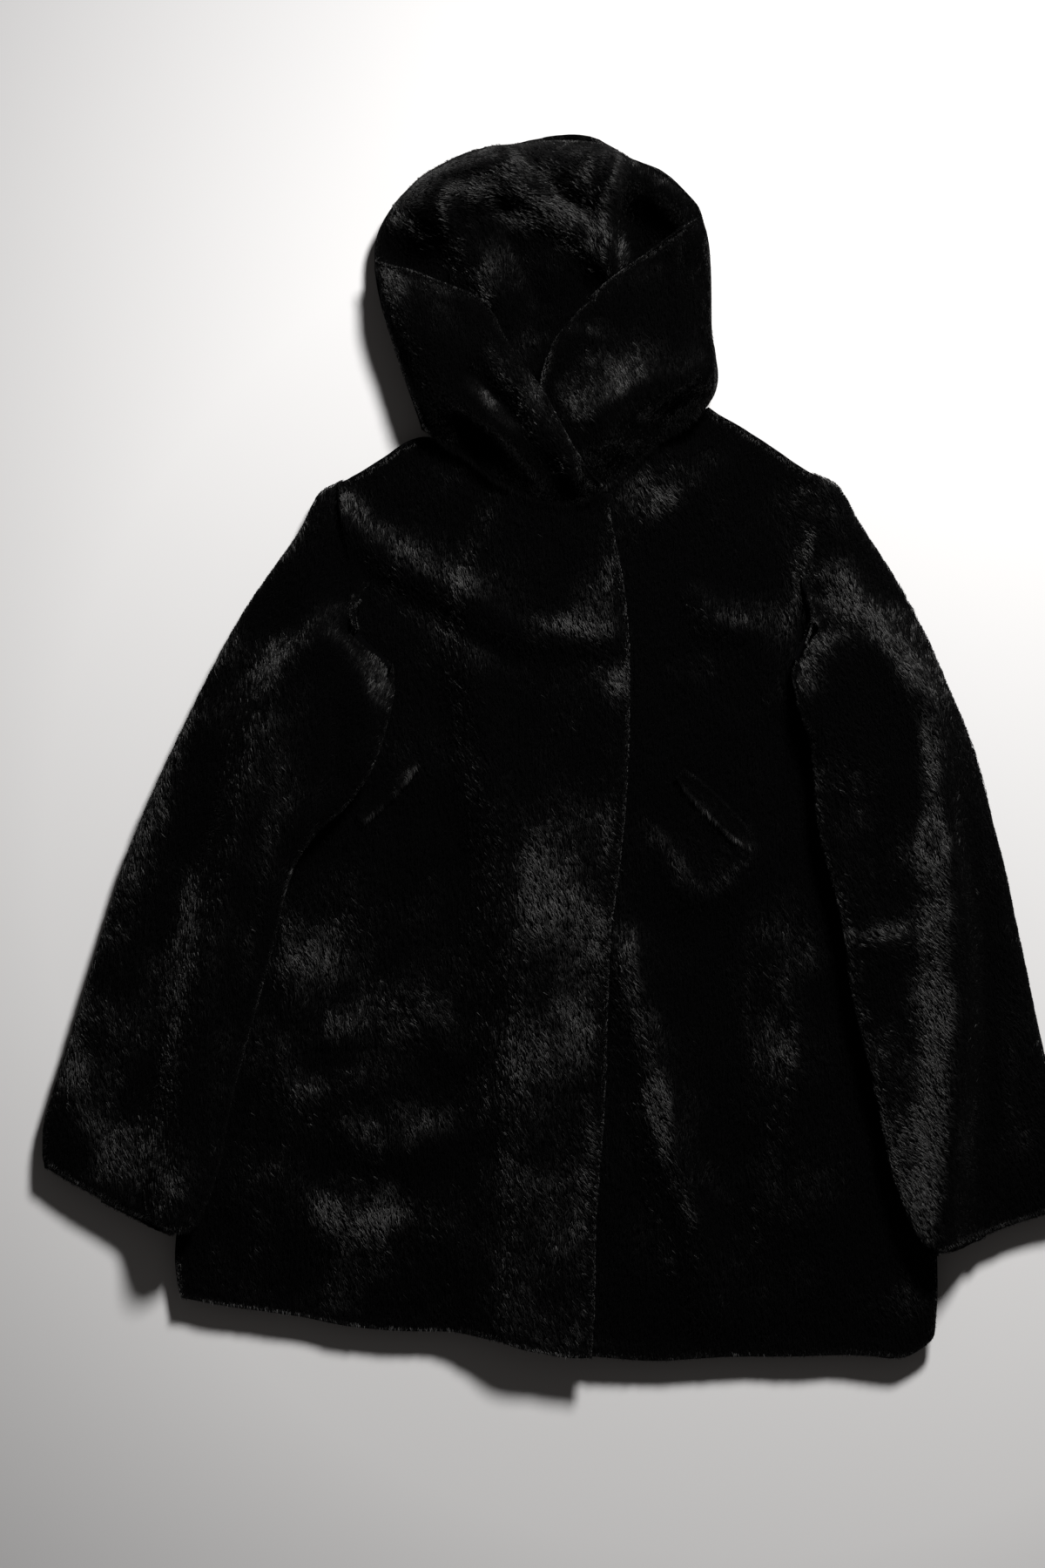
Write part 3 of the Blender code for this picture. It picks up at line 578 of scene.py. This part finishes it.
brushed = {  # how the pile lies: raise, turn, disorder, half width in mm, then a path
    "front_right": (
        (0.23, 0.10, 0.28, 120, (-190, -240), (-190, -420)),
        (0.42, 0.20, 0.14, 44, (-8, -70), (-14, -200), (-18, -330), (-22, -500)),
        (0.20, 0.10, 0.25, 30, (20, 120), (12, 40)),
        (0.03, 0.20, 0.22, 20, (-197, 204), (-156, 166), (-98, 138), (-36, 100), (42, 95)),
        (0.15, 0.20, 0.22, 22, (-138, 140), (-90, 105), (-74, 23), (-64, -60)),
        (0.08, 0.30, 0.35, 30, (-123, -217), (-140, -232)),
        (0.08, 0.30, 0.35, 32, (-106, -299), (-126, -310)),
        (0.14, 0.20, 0.30, 28, (-222, -180), (-218, -235)),
        (0.14, 0.30, 0.35, 34, (-200, -398), (-150, -402)),
        (0.10, 0.20, 0.30, 28, (-190, 215), (-165, 185)),
        (0.14, 0.20, 0.35, 30, (-110, 60), (-130, -20)),
        (-0.08, 0.00, 0.20, 110, (-120, 230), (-100, 60)),
        (0.10, 0.30, 0.30, 11, (50, 60), (42, -40), (34, -150), (26, -260), (18, -380), (16, -500)),
        (0.20, 0.10, 0.30, 14, (52, 230), (46, 150), (48, 60)),
    ),
    "front_left": (
        (0.10, 0.10, 0.32, 120, (140, -240), (140, -420)),
        (0.36, 0.40, 0.25, 11, (54, -178), (68, -225), (76, -270), (86, -324), (112, -400)),
        (0.24, 0.30, 0.35, 20, (125, -440), (130, -490)),
        (0.16, 0.30, 0.30, 32, (199, -390), (190, -350)),
        (0.12, 0.20, 0.25, 36, (185, -160), (199, -260)),
        (0.22, 0.20, 0.40, 9, (71, -62), (85, -82), (98, -105), (118, -127), (141, -119), (157, -101)),
        (0.14, 0.20, 0.40, 9, (157, -101), (160, -74), (144, -58), (114, -52)),
        (0.04, 0.20, 0.35, 22, (125, -85), (135, -95)),
        (0.16, 0.20, 0.20, 12, (112, 134), (129, 109), (154, 101)),
        (0.24, 0.20, 0.35, 34, (60, 240), (100, 215)),
        (0.22, 0.20, 0.35, 22, (195, 215), (200, 150), (190, 110)),
        (0.18, 0.20, 0.25, 26, (230, -480), (290, -480)),
        (-0.06, 0.00, 0.25, 110, (120, 230), (110, 40)),
    ),
    "sleeve_right": (
        (0.28, 0.50, 0.25, 26, (-318, -423), (-304, -292), (-285, -180), (-260, -67), (-240, 7),
         (-226, 60)),
        (0.34, 0.50, 0.34, 44, (-411, -241), (-395, -300), (-375, -345)),
        (0.22, 0.40, 0.25, 24, (-300, 92), (-262, 80)),
        (0.20, 0.50, 0.30, 30, (-340, 20), (-372, -80), (-395, -160)),
        (0.22, 0.50, 0.30, 28, (-330, -380), (-300, -415)),
        (0.16, 0.40, 0.30, 34, (-330, -120), (-350, -220), (-365, -300)),
        (-0.30, 0.00, 0.05, 28, (-228, 142), (-205, 130), (-186, 124)),
        (-0.20, 0.00, 0.05, 30, (-232, 100), (-205, 75), (-190, 40)),
    ),
    "sleeve_left": (
        (-0.25, 0.00, 0.05, 18, (212, 190), (226, 165)),
        (0.38, 0.20, 0.12, 13, (236, 140), (262, 112), (287, 79), (309, 34), (313, -24), (314, -80)),
        (0.38, 0.30, 0.18, 23, (314, -80), (318, -150), (320, -240), (314, -330), (300, -410)),
        (0.10, 0.20, 0.25, 16, (226, 200), (232, 160)),
        (0.22, 0.30, 0.25, 17, (241, -167), (290, -159)),
        (0.10, 0.30, 0.25, 22, (240, -20), (244, -60)),
        (0.16, 0.30, 0.30, 30, (262, -250), (290, -400)),
        (0.18, 0.20, 0.30, 24, (360, 20), (380, -60)),
        (0.18, 0.20, 0.25, 28, (392, -230), (402, -330)),
        (-0.14, 0.00, 0.05, 34, (222, 120), (236, 70), (250, 20)),
    ),
    "hood_back": (
        (0.40, 1.30, 0.20, 38, (-110, 470), (-90, 490), (-50, 488), (0, 488), (24, 490)),
        (0.34, 0.60, 0.15, 13, (38, 500), (31, 460), (28, 420)),
        (0.16, 0.50, 0.25, 24, (-88, 440), (-60, 400)),
        (0.16, 0.60, 0.20, 16, (-10, 462), (16, 430)),
        (-0.50, 0.00, 0.05, 34, (78, 490), (88, 440), (92, 410)),
    ),
    "hood_left": (
        (0.24, 0.40, 0.20, 14, (2, 312), (13, 292)),
        (0.34, 0.20, 0.20, 10, (24, 278), (58, 300), (84, 307), (100, 314)),
        (0.22, 0.30, 0.30, 26, (30, 330), (62, 336)),
        (0.14, 0.20, 0.20, 18, (118, 400), (124, 340)),
        (-0.30, 0.00, 0.10, 22, (125, 318), (100, 300)),
    ),
    "hood_right": (
        (0.26, 0.30, 0.30, 16, (-70, 345), (-42, 318), (-18, 275), (2, 235)),
        (0.24, 0.20, 0.20, 10, (-122, 405), (-92, 396), (-62, 384)),
        (0.16, 0.20, 0.20, 22, (-150, 420), (-155, 390)),
        (-0.20, 0.00, 0.10, 20, (-75, 290), (-50, 262)),
    ),
}


def brushedField(points, rows):
    # how far the pile is raised, turned aside and disordered at each point
    leastDisorder = 0.2
    field = np.zeros((len(points), 3))
    field[:, 2] = leastDisorder
    for up, turn, disorder, width, *path in rows:
        share = np.exp(-((pathDistance(points[:, :2] / mm, smoothPath(path)) / width) ** 3))
        field[:, 0] += up * share
        field[:, 1] = np.maximum(field[:, 1], turn * share)
        field[:, 2] = np.maximum(field[:, 2], disorder * share)
    return field


def noiseField(points, size, seed):
    apart = (7.31, 3.17, 1.93)  # keeps the fields of different seeds unlike each other
    shift = Vector([seed * way for way in apart])
    return np.array([noise.noise_vector(Vector(point) / size + shift) for point in points])


def tufts(x, y, size, seed):
    # smooth random numbers from -1 to 1 that change over the given size, from hashed whole places
    prime, otherPrime, seedPrime, mixer = 73856093, 19349663, 83492791, 1274126177
    u, v = x / size, y / size
    i, j = np.floor(u).astype(np.int64), np.floor(v).astype(np.int64)
    u, v = u - i, v - j
    u, v = u * u * (3 - 2 * u), v * v * (3 - 2 * v)
    total = 0
    corners = ((0, 0, (1 - u) * (1 - v)), (1, 0, u * (1 - v)), (0, 1, (1 - u) * v), (1, 1, u * v))
    for di, dj, share in corners:
        value = ((i + di) * prime) ^ ((j + dj) * otherPrime) ^ (seed * seedPrime)
        value = (value ^ (value >> 13)) * mixer
        total = total + share * (((value >> 7) & 65535) / 32767.5 - 1)
    return total


def turned(direction, axis, angle):
    # directions turned about unit axes (Rodrigues)
    c, s = np.cos(angle)[:, None], np.sin(angle)[:, None]
    along = (axis * direction).sum(1)[:, None]
    return direction * c + np.cross(axis, direction) * s + axis * (along * (1 - c))


def unit(vectors):
    return vectors / np.maximum(np.linalg.norm(vectors, axis=1), 1e-9)[:, None]


def hiddenWeights(faces, nodes):
    # 0 for faces with other pieces over them all round, 1 for the rest
    around = ((0, 0), (1, 0), (-1, 0), (0, 1), (0, -1))
    reach, clear = 30 * mm, 4 * mm
    covers = [solidTree(node) for node in nodes]
    up = Vector((0, 0, 1))
    weights = np.ones(len(faces))
    if covers:
        for k, face in enumerate(faces):
            middle = face.calc_center_median() + up * clear
            spots = [middle + Vector((dx, dy, 0)) * reach for dx, dy in around]
            covered = [any(cover.ray_cast(spot, up)[0] is not None for cover in covers) for spot in spots]
            weights[k] = not all(covered)
    return weights


piles = {
    "nap": (0.0, -1.0, 0.0),  # the way that the strands lie
    "hidden": (),  # the pieces that may lie over this one
    "rows": (),
    "lowest": 0.3 * mm,  # above the floor
    "flatter": 0.0,
    "spread": 0.35,  # how far the strands at a free edge turn out over it
    "depth": 5.2 * mm,
}


def pilePiece(name, bm, strands, seed, **changes):
    facts = {**piles, **changes}
    spread = facts["spread"]
    rng = np.random.default_rng(seed)
    faces = list(bm.faces)
    bm.verts.index_update()
    corners = np.array([[v.index for v in f.verts] for f in faces])
    points = np.array([v.co for v in bm.verts])
    normals = np.array([v.normal for v in bm.verts])
    gaps, ways = edgeField(bm)
    near = nearness(gaps, pile["edgeReach"]) * (spread > 0)
    brush = brushedField(points, facts["rows"])
    patches = noiseField(points * pile["stretch"], pile["patch"], seed)
    ripples = noiseField(points * pile["stretch"], pile["ripple"], seed + 50)
    # where the strands are rooted: evenly over the sheet, with more at its free edges
    a, b, c = (points[corners[:, k]] for k in range(3))
    area = np.linalg.norm(np.cross(b - a, c - a), axis=1) / 2
    facing = normals[corners].mean(1)[:, 2]
    weight = area * (1 + pile["edgeCrowd"] * near[corners].mean(1)) * hiddenWeights(faces, facts["hidden"])
    weight *= 1 + pile["steepCrowd"] * (1 - np.abs(facing)) ** 2 - pile["underThin"] * (facing < -0.4)
    chosen = rng.choice(len(faces), size=strands, p=weight / weight.sum())
    first, second = np.sqrt(rng.random(strands)), rng.random(strands)
    shares = np.stack([1 - first, first * (1 - second), first * second], axis=1)[:, :, None]

    def onSheet(values):
        return (values[corners[chosen]] * shares).sum(1)

    root, normal, outward = onSheet(points), unit(onSheet(normals)), unit(onSheet(ways))
    edge, patch, ripple = onSheet(near[:, None])[:, 0], onSheet(patches), onSheet(ripples)
    raised, turn, amount = onSheet(brush).T
    # the way that each strand points: along the nap, turned aside, and lifted from the cloth
    x, y = root[:, 0] + pile["wander"] * patch[:, 0], root[:, 1] + pile["wander"] * patch[:, 1]
    lay = np.broadcast_to(np.array(facts["nap"]), root.shape)
    lay = unit(lay - normal * (lay * normal).sum(1)[:, None])
    swing = turn + amount * (pile["patchTurn"] * patch[:, 2] + pile["rippleTurn"] * ripple[:, 2])
    stray = rng.normal(0, pile["strayTurn"], strands)
    swing += pile["tuftTurn"] * tufts(x, 0.7 * y, pile["tuft"], seed) + stray
    lay = turned(lay, normal, swing)
    leaning = spread * edge * np.clip(0.5 + 1.4 * patch[:, 1], 0, 1)
    lay = unit(lay * (1 - leaning)[:, None] + outward * leaning[:, None])
    over = rng.random(strands) < pile["overShare"]
    lift = np.where(over, pile["overLift"] + raised - facts["flatter"], pile["underLift"])
    lift += amount * (pile["patchLift"] * patch[:, 0] + pile["rippleLift"] * ripple[:, 1])
    tuftLift = pile["tuftLift"] + pile["disorderTuftLift"] * amount
    lift += tuftLift * tufts(x + 9, 0.6 * y + 5, pile["tuft"], seed + 3)
    lift += rng.normal(0, pile["strayLift"], strands)
    lift -= edge * np.where(over, 0.9 * rng.random(strands), 1.0)
    way = lay * np.cos(lift)[:, None] + normal * np.sin(lift)[:, None]
    # how high it starts, and its length
    height = facts["depth"] * rng.uniform(*pile["heights"], strands) ** pile["heightPower"]
    height += pile["tuftHeight"] * tufts(x - 7, 0.6 * y, pile["tuft"], seed + 5)
    height *= pile["sideHeight"] + (1 - pile["sideHeight"]) * np.abs(normal[:, 2])
    base = root + normal * (np.where(over, height, 0.0) * (1 - pile["edgeHeight"] * edge))[:, None]
    reach = pile["length"] * np.where(over, 1.0, pile["underLength"])
    reach *= rng.uniform(*pile["lengths"], strands)
    reach *= 1 - pile["edgeLength"] * edge
    reach *= np.where(over, 1.0, 0.5 + 0.5 * np.abs(normal[:, 2]))
    tip = base + way * reach[:, None]
    # its flat side faces the shine's way, rolled a little at random
    shine = np.where((normal[:, 2] > 0.1)[:, None], np.array(pile["shineWay"]), normal)
    face = unit(shine - way * (shine * way).sum(1)[:, None])
    face = turned(face, way, rng.uniform(-1, 1, strands) * pile["roll"])
    across = np.cross(way, face) * (pile["width"] / 2 * rng.uniform(*pile["widths"], strands))[:, None]
    verts = np.stack([base - across, base + across, tip], axis=1)
    verts[:, :, 2] = np.maximum(verts[:, :, 2], facts["lowest"])
    # one triangle to a strand, with its root at 0 and its tip at 1 up the map
    mesh = bpy.data.meshes.new(name)
    mesh.vertices.add(3 * strands)
    mesh.vertices.foreach_set("co", verts.astype(np.float32).ravel())
    mesh.loops.add(3 * strands)
    mesh.loops.foreach_set("vertex_index", np.arange(3 * strands, dtype=np.int32))
    mesh.polygons.add(strands)
    mesh.polygons.foreach_set("loop_start", np.arange(0, 3 * strands, 3, dtype=np.int32))
    mesh.update(calc_edges=True)
    shade = 0.02 + 0.96 * rng.random(strands)
    strip = np.zeros((strands, 3, 2), dtype=np.float32)
    strip[:, 0, 0], strip[:, 1, 0], strip[:, 2, 0] = shade - 0.01, shade + 0.01, shade
    strip[:, 2, 1] = 1.0
    mesh.uv_layers.new(name="OFBake").data.foreach_set("uv", strip.ravel())
    mesh.materials.append(pileMaterial(name))
    piece = bpy.data.objects.new(name, mesh)
    bpy.context.scene.collection.objects.link(piece)
    print("pile", name, strands)
    return piece


creases = {  # rise and half width of a soft ridge (or trough) in mm, then its path
    "front_right": (
        (6.0, 14, (-197, 204), (-156, 166), (-98, 138), (-36, 100), (9, 98), (42, 95)),
        (-3.5, 12, (-151, 142), (-98, 109), (-44, 76)),
        (3.0, 18, (-138, 140), (-90, 105), (-74, 23), (-64, -60)),
        (3.0, 26, (-40, -60), (-34, -192), (-36, -307), (-44, -390), (-50, -497)),
        (3.0, 16, (-148, -323), (-110, -400), (-76, -492)),
        (3.0, 13, (-230, -159), (-230, -225)),
        (-2.5, 12, (-212, -150), (-208, -230)),
        (3.6, 15, (-190, -330), (-150, -345), (-105, -330)),
        (3.0, 15, (-260, -250), (-225, -300), (-180, -290)),
        (3.0, 15, (-140, -200), (-118, -235), (-95, -270)),
        (3.0, 16, (-220, -400), (-180, -420), (-140, -410)),
    ),
    "front_left": (
        (5.0, 15, (54, -175), (75, -258), (88, -324), (120, -406), (129, -497)),
        (-2.5, 15, (36, -230), (51, -330), (76, -430)),
        (4.0, 9, (112, 134), (129, 109), (154, 101)),
        (-2.0, 7, (102, -22), (163, -77)),
        (2.5, 9, (85, -82), (98, -105), (118, -127), (141, -119), (157, -101), (160, -74)),
        (2.5, 17, (174, -175), (199, -258), (190, -330)),
        (2.5, 14, (100, 60), (150, 20), (190, 40)),
    ),
    "sleeve_right": (
        (6.0, 17, (-338, -423), (-324, -292), (-305, -180), (-279, -67), (-260, 7), (-244, 64),
         (-222, 88), (-200, 94)),
        (-5.0, 16, (-368, -423), (-354, -292), (-336, -180), (-308, -67), (-289, 7), (-274, 60)),
        (4.0, 10, (-200, 94), (-181, 72), (-168, 22), (-180, -10)),
        (-3.5, 8, (-193, 31), (-195, -18), (-213, -68)),
    ),
    "sleeve_left": (
        (6.0, 16, (325, -435), (330, -330), (336, -217), (332, -150), (324, -75), (323, -20),
         (318, 38), (296, 84), (270, 116), (236, 148)),
        (-5.0, 13, (354, -420), (358, -330), (364, -217), (360, -150), (352, -75), (350, -10),
         (343, 45), (316, 98), (288, 130)),
        (3.0, 9, (241, -167), (290, -159)),
    ),
    "hood_back": (
        (11.0, 24, (-66, 460), (-30, 462), (10, 462)),
        (7.0, 24, (-45, 425), (0, 420)),
        (6.0, 12, (-100, 455), (-118, 440)),
        (9.0, 9, (48, 526), (41, 500), (38, 474), (39, 445), (41, 418)),
        (-4.0, 11, (66, 500), (64, 470), (66, 430)),
        (-5.0, 9, (-42, 523), (-36, 500), (-10, 478), (17, 463)),
        (4.0, 9, (-62, 517), (-36, 484), (-10, 460), (13, 442), (39, 421)),
        (4.0, 10, (-118, 489), (-107, 463), (-85, 436), (-58, 388)),
        (-5.0, 9, (-55, 466), (-43, 436), (-28, 399), (-25, 369)),
    ),
    "hood_right": (
        (-4.5, 8, (-79, 322), (-50, 291), (-30, 261), (-5, 232), (9, 195)),
        (2.0, 9, (-62, 334), (-33, 300), (-12, 266), (10, 228)),
    ),
    "hood_left": (
        (2.0, 9, (32, 286), (58, 307), (82, 315)),
        (5.0, 12, (50, 266), (82, 276), (122, 290)),
        (2.5, 8, (-5, 340), (10, 355), (28, 352)),
    ),
}


panels = {  # strands and seed of the pile, what may lie over it, what it is sewn to, and changes
    "front_left": {
        "strands": 150000,
        "seed": 11,
        "hidden": ("front_right", "sleeve_left", "hood_left"),
        "sewn": ("sleeve_left", "hood_left"),
        "sheet": {"smooth": 8},
        "fur": {},
    },
    "front_right": {
        "strands": 180000,
        "seed": 12,
        "hidden": ("sleeve_right", "hood_right", "hood_left"),
        "sewn": ("sleeve_right", "hood_right"),
        "sheet": {"smooth": 9, "roll": 0.5 * mm},
        "fur": {"spread": 0.12},
    },
    "hood_back": {
        "strands": 90000,
        "seed": 13,
        "hidden": ("hood_left", "hood_right"),
        "sewn": ("back",),
        "sheet": {},
        "fur": {},
    },
    "hood_left": {
        "strands": 60000,
        "seed": 14,
        "hidden": ("hood_right",),
        "sewn": ("front_left",),
        "sheet": {},
        "fur": {"flatter": 0.2},
    },
    "hood_right": {
        "strands": 65000,
        "seed": 15,
        "hidden": (),
        "sewn": ("front_right",),
        "sheet": {},
        "fur": {"flatter": 0.2},
    },
}

sleeves = {
    "sleeve_right": {"seed": 21, "sewn": ("front_right", "back"), "axis": (-0.37, -0.93, 0)},
    "sleeve_left": {"seed": 22, "sewn": ("front_left", "back"), "axis": (0.33, -0.94, 0)},
}

pockets = {"pocket_left": 16, "pocket_right": 17}  # the seeds of their piles


def finished(node, bm, fur, thickness=backing["thickness"]):
    cloth = clothPiece(node + "_cloth", bm, thickness)
    bm.free()
    return cloth, fur


def makePanel(node, facts):
    bm = panelSheet(node, facts["sewn"], creases=creases[node], **facts["sheet"])
    changes = {"hidden": facts["hidden"], "rows": brushed[node], **facts["fur"]}
    return finished(node, bm, pilePiece(node + "_pile", bm, facts["strands"], facts["seed"], **changes))


def makePocket(node, seed):
    bm = panelSheet(node, (), inset=3 * mm, above=-6.5 * mm, longest=5 * mm, roll=0)
    fur = pilePiece(node + "_pile", bm, 4000, seed, spread=0, depth=2.5 * mm)
    return finished(node, bm, fur, thickness=0.8 * mm)


def makeSleeve(node, facts):
    axis = facts["axis"]
    bm = tubeSheet(node, facts["sewn"], axis, creases[node])
    changes = {"nap": axis, "lowest": 0.4 * mm, "rows": brushed[node], "depth": 4 * mm}
    return finished(node, bm, pilePiece(node + "_pile", bm, 150000, facts["seed"], **changes))


def makeBack():
    # only its edges show, so its sheet is the solid's lower side and its pile is sparse
    sewn = ("sleeve_left", "sleeve_right", "hood_back")
    bm = panelSheet("back", sewn, side=-1, above=7 * mm, longest=16 * mm, roll=0)
    return finished("back", bm, pilePiece("back_pile", bm, 40000, 18))


def declare(node, cloth, fur):
    for piece in (cloth, fur):
        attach(piece, "root")
    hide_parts(node)


def makeFloor():
    mesh = bpy.data.meshes.new("floor")
    bm = bmesh.new()
    bmesh.ops.create_grid(bm, x_segments=1, y_segments=1, size=studio["floorSize"])
    bm.to_mesh(mesh)
    bm.free()
    floor = bpy.data.objects.new("floor", mesh)
    bpy.context.scene.collection.objects.link(floor)
    nodes = Nodes("floor")
    # the floor's colour is painted light: the lit colour near the painted pool's centre, fading from 0.6 m
    # to 1 m away into a painted darker colour that stands in for the lamp's falloff
    place = nodes.add("ShaderNodeTexCoord", {}, {}, output="Object")
    ends = {0: place, 1: studio["paintedLightCentre"]}
    gap = nodes.add("ShaderNodeVectorMath", {"operation": "DISTANCE"}, ends, output="Value")
    stops = [(0.6, studio["floorPaintedLitColour"]), (1.0, studio["floorPaintedShadeColour"])]
    paintedLightTone = nodes.add("ShaderNodeValToRGB", {"stops": stops}, {0: gap})
    mesh.materials.append(nodes.finish(Base_Color=paintedLightTone, Roughness=0.75, Specular_IOR_Level=0.1))


makeCamera()
makeLight()
makeFloor()
print("studio ready")

pieces = {"back": makeBack()}
for node, facts in panels.items():
    pieces[node] = makePanel(node, facts)
for node, seed in pockets.items():
    pieces[node] = makePocket(node, seed)
for node, facts in sleeves.items():
    pieces[node] = makeSleeve(node, facts)
for node, (cloth, fur) in pieces.items():
    declare(node, cloth, fur)
    size = cloth.dimensions
    area = sum(face.area for face in cloth.data.polygons)
    print(node, "area", round(area, 4), "size", [round(v, 3) for v in size])
